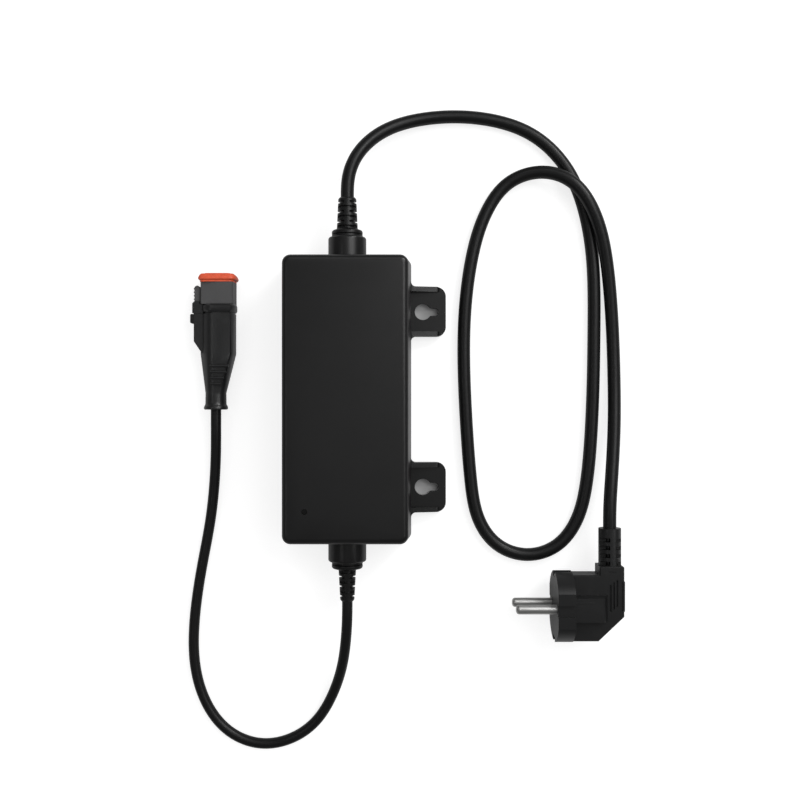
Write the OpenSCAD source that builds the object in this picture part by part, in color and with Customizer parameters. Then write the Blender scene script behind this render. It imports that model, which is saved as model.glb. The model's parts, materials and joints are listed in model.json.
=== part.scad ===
// Power supply adapter for a robot mower's charging station
// A moulded housing with two keyhole tabs, a mains lead with an angled
// two-pin earthed plug, and a low-voltage lead with a sealed two-way connector.
// Millimetres. The origin is the centre of the back face, +Z points out of the
// front face and +Y towards the mains lead.

/* [Housing] */
// Width across the side walls, at the front edge
front_w = 62.2; // [58:0.2:68]
// Length between the end walls, at the front edge
front_l = 142.4; // [138:0.2:150]
// Depth from the back face to the front face
depth = 42; // [40:0.5:48]
// Slope of the side walls, in degrees
draft = 2.6; // [1:0.2:3]
// Slope of the end walls, in degrees
end_draft = 3.6; // [1:0.2:4]
// Radius of the four corners, seen from the front
corner_r = 4.2; // [3.8:0.2:6]
// Radius round the edge of the front face
edge_r = 2.9; // [2:0.1:3.4]
// Thickness of the walls
wall = 2.6; // [2.4:0.1:3]
// Diameter of the two cable collars
collar_d = 19.4; // [18:0.2:21]
// Height of the cable collars' axis over the back face
collar_z = 18; // [16:0.5:22]
// Length of a collar, from the middle of the housing to its outer end
collar_reach = 82.8; // [80:0.2:86]
// Diameter of the bore through a collar
collar_bore = 12.4; // [11:0.2:14]

/* [Mounting tabs] */
// Distance between the two keyholes
keyhole_spacing = 92; // [84:1:96]
// Width of a tab along the housing
tab_w = 26; // [24:0.5:30]
// Distance of a tab's outer edge from the housing's middle
tab_reach = 51; // [49:0.5:54]
// Thickness of a tab
tab_t = 4; // [3:0.5:5]
// Height of a tab's side ribs where they meet the wall
rib_h = 8; // [7:0.5:12]
// Thickness of a side rib
rib_t = 2.6; // [2:0.1:3]
// Diameter of a keyhole's round end
keyhole_d = 8.6; // [8:0.2:9.2]
// Width of a keyhole's slot
slot_w = 4.3; // [4.1:0.1:5]
// Distance from the round end's middle to the slot's end
slot_travel = 6; // [5:0.5:6.5]

/* [Back cover] */
// Thickness of the back cover
cover_t = 2.5; // [2:0.1:3]
// Thickness of the gasket under the cover
gasket_t = 0.8; // [0.6:0.1:1]
// Width of the housing's rim outside the cover
rim_t = 1.3; // [1.2:0.1:1.4]
// Diameter of a screw boss
boss_d = 5.8; // [5.4:0.2:6]
// Diameter of a cover screw's shank
screw_d = 2.6; // [2.4:0.1:2.8]

/* [Circuit board] */
// Width of the board
board_w = 47.5; // [47.5:0.1:48]
// Length of the board
board_l = 122; // [118:1:123]
// Thickness of the board
board_t = 1.6; // [1.2:0.2:2]
// Height of the cover's standoffs under the board
standoff_h = 3; // [2.5:0.5:4]

/* [Leads] */
// Diameter of the mains lead
mains_d = 6.8; // [6.2:0.1:7]
// Diameter of the low-voltage lead
output_d = 5.4; // [4.8:0.1:5.6]
// Diameter of an insulated core
core_d = 2; // [1.6:0.1:2.2]

/* [Plug] */
// Diameter of the plug's round front
plug_d = 36.2; // [35.8:0.1:37]
// Diameter of a plug pin
pin_d = 4.8; // [4.8:0.1:4.9]
// Length of a plug pin outside the plug
pin_l = 20.5; // [19:0.5:21]
// Distance between the two pins' axes
pin_spacing = 19; // [19:0.1:19.2]
// Thickness of the flat grip behind the round front
grip_t = 13.6; // [13:0.2:15]
// Thickness of the plug over the bridge that holds the pins
bridge_t = 25.6; // [25:0.2:26.4]

/* [Connector] */
// Width of the connector's front housing
nose_w = 17; // [16.6:0.1:17.4]
// Thickness of the connector's front housing
nose_t = 13.6; // [13:0.1:13.8]
// Width of the boot behind it
boot_w = 17.8; // [17.6:0.1:18.4]
// Thickness of the boot
boot_t = 15.2; // [14.8:0.1:15.4]

/* [Hidden] */

$fn = 48;
// A cut runs this far past the face that it opens
over = 1;

// Housing: the walls lean outwards from the front edge to the back face
lean = tan(draft) * (depth - edge_r);
end_lean = tan(end_draft) * (depth - edge_r);
back_w = front_w + 2 * lean;
back_l = front_l + 2 * end_lean;
back_corner_r = wall + 0.6;
ledge_z = cover_t + gasket_t;
cavity_z = depth - wall;
end_wall_y = front_l / 2;
boss_x = front_w / 2 - 4.1;
boss_y = front_l / 2 - 4.3;
boss_places = [for (x = [-1, 1], y = [-1, 0, 1]) [x * boss_x, y * boss_y]];
collar_root = end_wall_y - wall - 0.5;
led_at = [-19.8, -55];
led_hole_d = 2.9;

// Tabs: the round end of each keyhole faces the housing
tab_y = keyhole_spacing / 2;
tab_corner_r = 5;
tab_fillet_r = 2.4;
wall_x = back_w / 2 - 0.1;
keyhole_x = tab_reach - 12;
rib_end_x = tab_reach - 5.4;
rib_end_r = 2.2;

// Board: it stands on the cover, with its parts towards the front face
board_z = cover_t + standoff_h;
parts_z = board_z + board_t;
standoff_places = [[-20.5, 56], [20.5, 56], [-20.5, -46], [20.5, -57]];
standoff_d = 5.6;
board_screw_d = 2;

// Board parts: each place is the middle of the part's foot
choke_at = [-5, 40];
fuse_at = [-20.5, 36];
x_capacitor_at = [14.5, 46];
bridge_at = [14.5, 34];
bulk_at = [-12, 15];
primary_sink_at = [22, 15];
chip_at = [7, 14];
transformer_at = [-1, -14];
y_capacitor_at = [-20.5, -14];
optocoupler_at = [19.6, -8];
secondary_sink_at = [22, -38];
output_capacitor_y = -37;
output_choke_at = [8, -52];

// Bushing: distances along its axis from the collar's outer end
bushing_flange_d = 15.8;
bushing_flange_t = 3.6;
bushing_groove_at = 1.3;
bushing_lip_d = 14.8;
bushing_lip_t = 2.4;
bushing_shank = collar_reach - collar_root;
relief_l = 20.2;
relief_slots = 6;
relief_first_slot = 5.2;
relief_pitch = 2.5;
relief_slot_t = 1.2;
relief_web = 2.6;

// The mains lead: out of its bushing, round a wide bow, down and back up beside
// itself, over its own first run, and down to the plug
mains_route = [
    [0, 103, 18], [0, 113, 18], [3, 123, 17], [9.5, 132.5, 13.5], [20, 141, 9.5],
    [37, 147.5, 4.5], [64, 149.5, 3.5], [94, 143, 3.5], [113, 126, 3.5], [123, 106, 3.5],
    [129, 76, 3.5], [129, 40, 3.5], [128.5, 4, 3.5], [127, -26, 3.5], [125, -45, 3.5],
    [121.5, -62, 3.5], [111.5, -77.5, 3.5], [94, -83.5, 3.5], [76.5, -77.5, 3.5], [66.5, -62, 3.5],
    [64, -43, 3.5], [62, -18, 3.5], [60, 21, 3.5], [61, 53, 3.5], [65.5, 81, 3.5],
    [72, 99.5, 3.5], [82.5, 115, 4], [100.5, 120.5, 7], [117.5, 114.5, 10.7], [128, 98.5, 11],
    [134.5, 78, 8], [138.5, 44, 3.5], [139.5, 10.5, 3.5], [139, -13, 7], [136.5, -37, 13],
    [134.6, -54, 16], [134.6, -66, 16],
];
mains_rings = 54;
mains_sides = 10;

// The low-voltage lead: out of its bushing, round one bow and up to the connector
output_route = [
    [0, -103, 18], [0, -114, 18], [-1.5, -132, 14], [-5.5, -149, 6], [-15, -169, 2.8],
    [-30, -179.5, 2.8], [-47.5, -182.5, 2.8], [-65, -175, 2.8], [-76.5, -159, 2.8],
    [-82, -138.5, 2.8], [-81.5, -114.5, 2.8], [-77.5, -88, 2.8], [-72, -62, 2.8],
    [-69.5, -35, 5], [-68.9, -18, 8.2], [-68.9, -5.3, 8.2],
];
output_rings = 26;
output_sides = 8;

// Plug: its frame has the middle of the round front's face as origin, +X into
// the plug and +Y along the lead, which ends in the strain relief
mains_last = len(mains_route) - 1;
disc_t = 8.8;
grip_l = 34.8;
grip_half_w = 16.8;
grip_cut = [21.7, -4.4];
grip_edge = 0.5;
shoulder_x = 22.2;
shoulder_y = 21.2;
bridge_end = 23.5;
bridge_half_w = 6;
plug_relief_x = 28.6;
plug_relief_end = 40;
plug_relief_d = 11.5;
plug_slots = 4;
plug_first_slot = 21.4;
plug_slot_pitch = 3.95;
plug_slot_t = 2.1;
plug_slot_floor_d = 5;
plug_at = mains_route[mains_last] - [plug_relief_x, plug_relief_end, 0];
guide_flat = 8.75;
guide_notch_w = 5.6;
strap_w = 5.6;
strap_t = 0.8;
strap_y = 15.2;
strap_end = 10.4;

// Connector: its frame has the middle of the boot's back end as origin and +Y
// towards the mating face. The body's middle lies right of the lead's axis
output_last = len(output_route) - 1;
connector_at = output_route[output_last];
boot_shift = 1.3;
boot_neck_d = 10.7;
boot_flare_d = 12.4;
boot_neck_l = 8.5;
boot_taper_end = 29;
boot_l = 54.6;
boot_bead = 4.2;
boot_groove = 0.8;
boot_wall = 1.6;
boot_ribs = 4;
boot_rib_first = 13.3;
boot_rib_pitch = 3.1;
boot_rib_d = 1.5;
latch_x = -9.3;
latch_w = 2.8;
latch_half_t = 2.9;
latch_root = boot_l - 2.3;
latch_end = 64.3;
latch_teeth = 4;
guard_half_t = 4.1;
nose_start = 42;
nose_end = 66;
contact_x = 4.2;
contact_d = 3.4;
seal_end = 70.2;
seal_pocket = [12, 4.6];

// A smooth curve that starts and ends on a route's end points and is drawn
// towards the points between. u counts points, from 0 to the last
function unit(v) = v / norm(v);
function blend(a, b, c, d, t) =
    (pow(1 - t, 3) * a + (3 * t * t * t - 6 * t * t + 4) * b + (1 + 3 * t + 3 * t * t - 3 * t * t * t) * c
        + t * t * t * d) / 6;
function route_point(route, u) =
    let (last = len(route) - 1, i = min(floor(u), last - 1))
    let (before = i > 0 ? route[i - 1] : 2 * route[0] - route[1])
    let (after = i + 2 <= last ? route[i + 2] : 2 * route[last] - route[last - 1])
    blend(before, route[i], route[i + 1], after, u - i);
function route_heading(route, u) =
    let (last = len(route) - 1, step = 0.02)
    unit(route_point(route, min(u + step, last)) - route_point(route, max(u - step, 0)));

// One ring of a lead's tube, square to the curve at u
function ring_at(route, u, r, sides) =
    let (middle = route_point(route, u), heading = route_heading(route, u))
    let (across = unit(cross(heading, [0, 0, 1])), upright = cross(across, heading))
    [for (k = [0:sides - 1]) middle + r * (sin(k * 360 / sides) * across - cos(k * 360 / sides) * upright)];

// A closed tube along a route
module tube_along(route, d, rings, sides) {
    last = len(route) - 1;
    points = [for (i = [0:rings - 1]) each ring_at(route, last * i / (rings - 1), d / 2, sides)];
    skin = [
        for (i = [0:rings - 2], k = [0:sides - 1])
            [
                i * sides + k, i * sides + (k + 1) % sides,
                (i + 1) * sides + (k + 1) % sides, (i + 1) * sides + k,
            ]
    ];
    first_cap = [for (k = [0:sides - 1]) sides - 1 - k];
    last_cap = [for (k = [0:sides - 1]) (rings - 1) * sides + k];
    polyhedron(points = points, faces = concat([first_cap], skin, [last_cap]), convexity = 8);
}

// An outline with rounded corners, centred
module rounded_outline(w, l, r) {
    square([w - 2 * r, l], center = true);
    square([w, l - 2 * r], center = true);
    for (x = [-1, 1], y = [-1, 1])
        translate([x * (w / 2 - r), y * (l / 2 - r)]) circle(r);
}

// A flat plate with rounded corners, standing on z = 0
module rounded_plate(w, l, t, r) {
    linear_extrude(t) rounded_outline(w, l, r);
}

// A leaning box with rounded corners and a rounded front edge
module leaning_box(w, l, h, front_r, round_r, back_r) {
    hull()
        for (x = [-1, 1], y = [-1, 1]) {
            translate([x * (w / 2 - front_r), y * (l / 2 - front_r), h - round_r])
                rotate_extrude($fn = 32) translate([front_r - round_r, 0]) intersection() {
                    circle(round_r, $fn = 32);
                    translate([0, -round_r]) square(2 * round_r);
                }
            translate([x * (w / 2 + lean - back_r), y * (l / 2 + end_lean - back_r), 0])
                cylinder(r = back_r, h = 0.4, $fn = 32);
        }
}

// A shape turned to stand out of the end wall, +Z of the shape along +Y or -Y
module from_end_wall(side) {
    translate([0, 0, collar_z]) rotate([-90 * side, 0, 0]) children();
}

// A cable collar with a rounded outer edge, from the housing's middle outwards
module collar(reach, edge) {
    rotate_extrude() {
        translate([0, collar_root]) square([collar_d / 2, reach - edge - collar_root]);
        translate([0, reach - edge - 0.01]) square([collar_d / 2 - edge, edge + 0.01]);
        translate([collar_d / 2 - edge, reach - edge]) circle(edge);
    }
}

// Plan of a tab: two outer corners rounded, two fillets where it leaves the wall
module tab_plan() {
    start = wall_x - 0.8;
    translate([start, -tab_w / 2]) square([tab_reach - tab_corner_r - start, tab_w]);
    translate([start, tab_corner_r - tab_w / 2]) square([tab_reach - start, tab_w - 2 * tab_corner_r]);
    for (side = [-1, 1])
        translate([tab_reach - tab_corner_r, side * (tab_w / 2 - tab_corner_r)]) circle(tab_corner_r);
    for (side = [-1, 1])
        difference() {
            translate([wall_x - 1, side > 0 ? tab_w / 2 - 0.5 : -tab_w / 2 - tab_fillet_r])
                square([tab_fillet_r + 1, tab_fillet_r + 0.5]);
            translate([wall_x + tab_fillet_r, side * (tab_w / 2 + tab_fillet_r)]) circle(tab_fillet_r);
        }
}

// Side view of a rib: it falls from the wall towards the tab and ends in a round nose
module rib_profile() {
    nose_z = tab_t - 0.8;
    polygon([
        [wall_x - 2, 0], [wall_x - 2, rib_h], [wall_x + 0.6, rib_h],
        [rib_end_x + 0.4, nose_z + rib_end_r - 0.04], [rib_end_x, 0],
    ]);
    translate([rib_end_x, nose_z]) circle(rib_end_r);
}

module tab_with_ribs() {
    linear_extrude(tab_t) tab_plan();
    intersection() {
        linear_extrude(rib_h + over) difference() {
            tab_plan();
            translate([wall_x - 2 - over, rib_t - tab_w / 2]) square([tab_reach, tab_w - 2 * rib_t]);
        }
        translate([0, tab_w, 0]) rotate([90, 0, 0]) linear_extrude(2 * tab_w) rib_profile();
    }
}

module keyhole() {
    translate([keyhole_x, 0, -over]) {
        cylinder(d = keyhole_d, h = tab_t + 2 * over);
        translate([0, -slot_w / 2, 0]) cube([slot_travel, slot_w, tab_t + 2 * over]);
        translate([slot_travel, 0, 0]) cylinder(d = slot_w, h = tab_t + 2 * over);
    }
}

// The one-piece moulding that is open at the back: walls, front face, cable
// collars, mounting tabs and the bosses that the cover screws go into
module housing() {
    color("#26272a") difference() {
        union() {
            difference() {
                leaning_box(front_w, front_l, depth, corner_r, edge_r, back_corner_r);
                translate([0, 0, -over]) leaning_box(
                    front_w - 2 * wall, front_l - 2 * wall, cavity_z + over, corner_r - wall + 0.4,
                    1.2, back_corner_r - wall
                );
                translate([0, 0, -over]) rounded_plate(
                    back_w - 2 * rim_t, back_l - 2 * rim_t, ledge_z + over, back_corner_r - rim_t
                );
            }
            for (side = [-1, 1]) from_end_wall(side) collar(collar_reach, 1.2);
            for (side = [-1, 1]) translate([0, side * tab_y, 0]) tab_with_ribs();
            for (place = boss_places)
                translate([place[0], place[1], cover_t]) cylinder(d = boss_d, h = depth - wall / 2 - cover_t);
        }
        for (side = [-1, 1]) from_end_wall(side)
            translate([0, 0, collar_root - over]) cylinder(d = collar_bore, h = collar_reach);
        for (side = [-1, 1]) translate([0, side * tab_y, 0]) keyhole();
        for (place = boss_places)
            translate([place[0], place[1], cover_t - over]) cylinder(d = screw_d, h = 14 + over);
        translate([led_at[0], led_at[1], cavity_z - over]) cylinder(d = led_hole_d, h = wall + 2 * over);
    }
}

module back_cover() {
    gap = 0.1;
    color("#2b2c2f") difference() {
        union() {
            rounded_plate(
                back_w - 2 * (rim_t + gap), back_l - 2 * (rim_t + gap), cover_t, back_corner_r - rim_t - gap
            );
            for (place = standoff_places)
                translate([place[0], place[1], 0]) cylinder(d = standoff_d, h = board_z);
        }
        for (place = boss_places) translate([place[0], place[1], 0]) {
            translate([0, 0, -over]) cylinder(d = screw_d + 0.6, h = cover_t + 2 * over);
            cylinder(d1 = 5.6, d2 = screw_d, h = 1.5);
        }
        for (place = standoff_places)
            translate([place[0], place[1], cover_t - 0.5]) cylinder(d = board_screw_d, h = board_z);
    }
}

module cover_gasket() {
    outer_w = back_w - 2 * (rim_t + 0.1);
    outer_l = back_l - 2 * (rim_t + 0.1);
    band = wall - rim_t - 0.2;
    color("#3a3a3c") translate([0, 0, cover_t]) difference() {
        rounded_plate(outer_w, outer_l, gasket_t, back_corner_r - rim_t - 0.1);
        translate([0, 0, -over]) rounded_plate(
            outer_w - 2 * band, outer_l - 2 * band, gasket_t + 2 * over, back_corner_r - wall + 0.1
        );
    }
}

// A screw with its head's top on z = 0 and its shank along +Z
module countersunk_screw(d, head_d, l) {
    difference() {
        union() {
            cylinder(d1 = head_d, d2 = d, h = 1.5);
            cylinder(d = d, h = l - 1.2);
            translate([0, 0, l - 1.2]) cylinder(d1 = d, d2 = d / 3, h = 1.2);
        }
        for (turn = [0, 90]) rotate(turn) translate([-1.3, -0.25, -over]) cube([2.6, 0.5, over + 0.9]);
    }
}

module pan_screw(d, head_d, head_h, l) {
    difference() {
        union() {
            cylinder(d = head_d, h = head_h);
            translate([0, 0, -l]) cylinder(d = d, h = l + 0.5);
        }
        for (turn = [0, 90]) rotate(turn) translate([-1.1, -0.22, head_h - 0.8]) cube([2.2, 0.44, over]);
    }
}

module cover_screws() {
    color("#8d9094") for (place = boss_places)
        translate([place[0], place[1], 0.05]) countersunk_screw(screw_d, 5.2, 14);
}

// A clear rod that leads the lamp's light to the front face, with a shoulder
// that stops it behind the face
module light_pipe() {
    shoulder_z = cavity_z - 1.6;
    foot_z = parts_z + 5.6;
    color("#cfd8d2") translate([led_at[0], led_at[1], 0]) {
        translate([0, 0, cavity_z - 0.01]) cylinder(d = led_hole_d - 0.2, h = wall - 0.5);
        translate([0, 0, shoulder_z]) cylinder(d = 5, h = 1.6);
        translate([0, 0, foot_z]) cylinder(d = 3.2, h = shoulder_z - foot_z + 0.01);
    }
}

module status_led() {
    color("#7fd08a") translate([led_at[0], led_at[1], parts_z]) {
        cylinder(d = 3.8, h = 1);
        cylinder(d = 3, h = 3.6);
        translate([0, 0, 3.6]) sphere(d = 3);
    }
}

module circuit_board() {
    color("#1e5a36") difference() {
        translate([0, 0, board_z]) rounded_plate(board_w, board_l, board_t, 1);
        for (place = standoff_places)
            translate([place[0], place[1], board_z - over])
                cylinder(d = board_screw_d + 0.4, h = board_t + 2 * over);
    }
}

module board_screws() {
    color("#b9bcc0") for (place = standoff_places)
        translate([place[0], place[1], parts_z]) pan_screw(board_screw_d, 4.4, 1.6, board_t + standoff_h);
}

// A thin sheet on the cover that keeps the board's underside off it
module insulating_sheet() {
    color("#e6e2d2") translate([0, 0, cover_t]) difference() {
        rounded_plate(board_w, board_l, 0.4, 1);
        for (place = standoff_places)
            translate([place[0], place[1], -over]) cylinder(d = standoff_d + 0.4, h = 2 + over);
    }
}

module on_board(place) {
    translate([place[0], place[1], parts_z]) children();
}

module fuse() {
    fuse_l = 20;
    color("#d7d9da") on_board(fuse_at) translate([0, 0, 4.2]) rotate([90, 0, 0]) {
        cylinder(d = 4.4, h = fuse_l, center = true);
        for (side = [-1, 1])
            translate([0, 0, side * (fuse_l / 2 - 2.6)]) cylinder(d = 5.1, h = 5.2, center = true);
    }
}

// Two spring clips that hold the fuse by its caps
module fuse_clips() {
    color("#c9b26b") on_board(fuse_at) for (side = [-1, 1]) translate([0, side * 7.4, 0]) difference() {
        translate([-3.2, -2.2, 0]) cube([6.4, 4.4, 6]);
        translate([0, 0, 4.2]) rotate([90, 0, 0]) cylinder(d = 5.12, h = 6, center = true);
        translate([-1.9, -3, 4.2]) cube([3.8, 6, 3]);
    }
}

module filter_choke_core() {
    color("#3c4a3e") on_board(choke_at) translate([0, 0, 2]) difference() {
        cylinder(d = 19, h = 8);
        translate([0, 0, -over]) cylinder(d = 11, h = 8 + 2 * over);
    }
}

// Two windings on the ring core, a gap apart on each side
module filter_choke_winding() {
    turns = 7;
    color("#b06a35") on_board(choke_at) difference() {
        for (side = [0, 180], i = [0:turns - 1])
            rotate(side - 63 + 21 * i) translate([7.5, 0, 6]) difference() {
                cube([6.6, 1.5, 10.6], center = true);
                cube([4.02, 3, 8.02], center = true);
            }
        translate([0, 0, 2]) cylinder(d = 19.02, h = 8.02);
    }
}

module boxed_part(place, size, r) {
    on_board(place) rounded_plate(size[0], size[1], size[2], r);
}

module x_capacitor() {
    color("#d8b93c") boxed_part(x_capacitor_at, [15, 7, 13], 0.6);
}

module y_capacitor() {
    color("#3f74b5") on_board(y_capacitor_at) translate([0, 0, 5.5]) rotate([0, 90, 0]) {
        cylinder(d = 8.4, h = 3.6, center = true);
        for (side = [-1, 1]) translate([3.6, side * 2.6, 0]) cube([3.8, 0.6, 0.6], center = true);
    }
}

module bridge_rectifier() {
    color("#202124") on_board(bridge_at) difference() {
        union() {
            translate([-9.2, -1.8, 2.4]) cube([18.4, 3.6, 14]);
            for (i = [0:3]) translate([-7.5 + 5 * i - 0.5, -0.4, 0]) cube([1, 0.8, 3]);
        }
        translate([0, 0, 12]) rotate([90, 0, 0]) cylinder(d = 3.2, h = 6, center = true);
    }
}

// A can capacitor with a rolled groove near its foot and a scored top
module can_capacitor(place, d, h, tint) {
    color(tint) on_board(place) difference() {
        cylinder(d = d, h = h);
        translate([0, 0, 2]) difference() {
            cylinder(d = d + 2, h = 1);
            cylinder(d = d - 1, h = 1);
        }
        for (turn = [0, 60, 120]) rotate(turn)
            translate([0, 0, h]) cube([d * 0.55, 0.4, 0.6], center = true);
    }
}

module bulk_capacitor() {
    can_capacitor(bulk_at, 22, 30, "#23303f");
}

module output_capacitor_left() {
    can_capacitor([-13, output_capacitor_y], 12.5, 25, "#2c2a45");
}

module output_capacitor_right() {
    can_capacitor([1, output_capacitor_y], 12.5, 25, "#2c2a45");
}

// An upright aluminium plate with a foot bent inwards and a clearance hole
module heatsink(place, l) {
    color("#aeb3b8") on_board(place) difference() {
        union() {
            translate([-0.9, -l / 2, 0]) cube([1.8, l, 28]);
            translate([-0.9, -l / 2, 25]) cube([3, l, 1.8]);
        }
        translate([0, 0, 17.5]) rotate([0, 90, 0]) cylinder(d = 3, h = 8, center = true);
    }
}

// A three-leg power package with its metal tab against a heatsink
module power_package(place) {
    color("#1d1e20") on_board(place) difference() {
        union() {
            translate([-5.4, -5, 5]) cube([4.5, 10, 9]);
            translate([-2.2, -5, 13.9]) cube([1.3, 10, 6.4]);
            for (i = [-1:1]) translate([-3.4, 2.54 * i - 0.4, 0]) cube([0.6, 0.8, 5.1]);
        }
        translate([0, 0, 17.5]) rotate([0, 90, 0]) cylinder(d = 3, h = 14, center = true);
    }
}

module primary_heatsink() {
    heatsink(primary_sink_at, 26);
}

module switching_transistor() {
    power_package(primary_sink_at);
}

module secondary_heatsink() {
    heatsink(secondary_sink_at, 22);
}

module output_rectifier() {
    power_package(secondary_sink_at);
}

// A dual-in-line package with its legs bent down to the board
module chip_package(place, l, legs, pitch) {
    color("#1d1e20") on_board(place) {
        translate([-3.2, -l / 2, 0.8]) cube([6.4, l, 3.2]);
        for (side = [-1, 1], i = [0:legs - 1])
            translate([side * 3.55, pitch * (i - (legs - 1) / 2), 1.2]) cube([0.9, 0.6, 2.4], center = true);
    }
}

module control_chip() {
    chip_package(chip_at, 9.6, 4, 2.54);
}

module optocoupler() {
    chip_package(optocoupler_at, 4.8, 2, 2.54);
}

// Transformer: two E halves that meet round the bobbin's middle
transformer_w = 32;
transformer_d = 20;
transformer_h = 26;
core_limb = 5.6;
core_post_d = 11;

module transformer_core() {
    window_h = transformer_h - 2 * core_limb;
    color("#3b3b3f") on_board(transformer_at) translate([0, 0, 1.2]) {
        difference() {
            translate([-transformer_w / 2, -transformer_d / 2, 0])
                cube([transformer_w, transformer_d, transformer_h]);
            translate([core_limb - transformer_w / 2, -transformer_d, core_limb])
                cube([transformer_w - 2 * core_limb, 2 * transformer_d, window_h]);
        }
        translate([0, 0, core_limb - 0.1]) cylinder(d = core_post_d, h = window_h + 0.2);
    }
}

// The bobbin's tube and two flanges, with a foot that carries the pins
module transformer_bobbin() {
    window_h = transformer_h - 2 * core_limb;
    flange_w = transformer_w - 2 * core_limb - 0.3;
    base_z = 1.2 + core_limb;
    color("#2a2a2c") on_board(transformer_at) {
        difference() {
            union() {
                translate([0, 0, base_z]) cylinder(d = core_post_d + 2, h = window_h);
                for (z = [base_z, base_z + window_h - 1])
                    translate([-flange_w / 2, -13, z]) cube([flange_w, 26, 1]);
            }
            translate([0, 0, base_z - over]) cylinder(d = core_post_d + 0.05, h = window_h + 2 * over);
        }
        for (side = [-1, 1]) {
            translate([-flange_w / 2, side * 12 - 1.6, 0]) cube([flange_w, 3.2, base_z + 0.5]);
        }
    }
}

module transformer_winding() {
    window_h = transformer_h - 2 * core_limb;
    color("#d9b441") on_board(transformer_at) translate([0, 0, 2.2 + core_limb]) difference() {
        cylinder(d = transformer_w - 2 * core_limb - 0.6, h = window_h - 2);
        translate([0, 0, -over]) cylinder(d = core_post_d + 2, h = window_h + over);
    }
}

module output_choke() {
    turns = 11;
    color("#b87333") on_board(output_choke_at) {
        difference() {
            translate([0, 0, 0.8]) cylinder(d = 13, h = 7);
            cylinder(d = 6, h = 10);
        }
        for (i = [0:turns - 1]) rotate(360 / turns * i) translate([4.75, 0, 4.3])
            cube([4.9, 1, 8.2], center = true);
    }
}

// The five insulated cores that run from the bushings to the board
core_rings = 9;
core_start = collar_root - bushing_lip_t;

module core_lead(start_x, start_z, land, side, tint) {
    route = [
        [start_x, side * core_start, start_z], [start_x, side * (core_start - 2.5), start_z],
        [(start_x + land[0]) / 2, side * (core_start - 6), start_z - 2.5],
        [land[0], land[1], parts_z + 3], [land[0], land[1] - side * 0.4, parts_z + 0.15],
    ];
    color(tint) tube_along(route, core_d, core_rings, 8);
}

module live_core() {
    core_lead(-2.4, collar_z - 0.6, [-10, 55.5], 1, "#6b3f22");
}

module neutral_core() {
    core_lead(2.4, collar_z - 0.6, [10, 55.5], 1, "#2f5fa8");
}

module earth_core() {
    core_lead(0, collar_z + 1.6, [0, 55.5], 1, "#7fae3a");
}

module positive_core() {
    core_lead(-1.6, collar_z, [-11, -55.5], -1, "#a8322c");
}

module negative_core() {
    core_lead(1.6, collar_z, [-4.5, -55.5], -1, "#1c1c1e");
}

// One slot of a bend relief: a thin gap round the lead, crossed by two webs
module relief_slot(keep_d, turn) {
    rotate(turn) difference() {
        translate([-bushing_flange_d, -bushing_flange_d, 0])
            cube([2 * bushing_flange_d, 2 * bushing_flange_d, relief_slot_t]);
        translate([0, 0, -over]) cylinder(d = keep_d, h = relief_slot_t + 2 * over);
        translate([-bushing_flange_d, -relief_web / 2, -over])
            cube([2 * bushing_flange_d, relief_web, relief_slot_t + 2 * over]);
    }
}

// A soft bushing moulded on a lead: a lip behind the wall, a shank through the
// collar, a grooved flange outside and a slotted, tapering bend relief
module bushing(side, lead_d, root_d, tip_d) {
    flange_round = 1.2;
    flange_r = bushing_flange_d / 2;
    from_end_wall(side) translate([0, 0, collar_reach]) difference() {
        rotate_extrude() {
            polygon([
                [0, -bushing_shank - bushing_lip_t], [bushing_lip_d / 2 - 1, -bushing_shank - bushing_lip_t],
                [bushing_lip_d / 2, -bushing_shank - bushing_lip_t + 1], [bushing_lip_d / 2, -bushing_shank],
                [collar_bore / 2, -bushing_shank], [collar_bore / 2, 0], [flange_r, 0],
                [flange_r, bushing_groove_at - 0.3], [flange_r - 0.5, bushing_groove_at],
                [flange_r, bushing_groove_at + 0.3], [flange_r, bushing_flange_t - flange_round],
                [flange_r - flange_round, bushing_flange_t], [root_d / 2, bushing_flange_t + 0.7],
                [tip_d / 2, relief_l - 0.8], [tip_d / 2 - 0.6, relief_l], [0, relief_l],
            ]);
            translate([flange_r - flange_round, bushing_flange_t - flange_round]) circle(flange_round);
        }
        for (i = [0:relief_slots - 1])
            translate([0, 0, relief_first_slot + relief_pitch * i - relief_slot_t / 2])
                relief_slot(lead_d + 0.3, i % 2 == 0 ? 0 : 90);
    }
}

module mains_bushing() {
    color("#1d1e20") bushing(1, mains_d, 10.7, 9.3);
}

module output_bushing() {
    color("#1d1e20") bushing(-1, output_d, 8.9, 7.3);
}

module mains_cord() {
    color("#1b1c1e") tube_along(mains_route, mains_d, mains_rings, mains_sides);
}

module output_cord() {
    color("#1b1c1e") tube_along(output_route, output_d, output_rings, output_sides);
}

module in_plug() {
    translate(plug_at) children();
}

// A slab of the grip with its two flat sides' edges bevelled
module grip_slab(outline) {
    hull() {
        linear_extrude(grip_t - 2 * grip_edge, center = true) polygon(outline);
        linear_extrude(grip_t, center = true) offset(delta = -grip_edge) polygon(outline);
    }
}

// The flat grip with a cut corner, and the shoulder that the lead enters
module plug_grip() {
    start = disc_t - 2;
    grip_slab([
        [start, -grip_half_w], [start, grip_half_w], [shoulder_x + 4, grip_half_w],
        [grip_l, grip_half_w - 4], [grip_l, grip_cut[1]], [grip_cut[0], -grip_half_w],
    ]);
    grip_slab([
        [shoulder_x, 6], [shoulder_x, shoulder_y], [grip_l - 0.6, shoulder_y], [grip_l, shoulder_y - 0.6],
        [grip_l, 6],
    ]);
}

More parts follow.
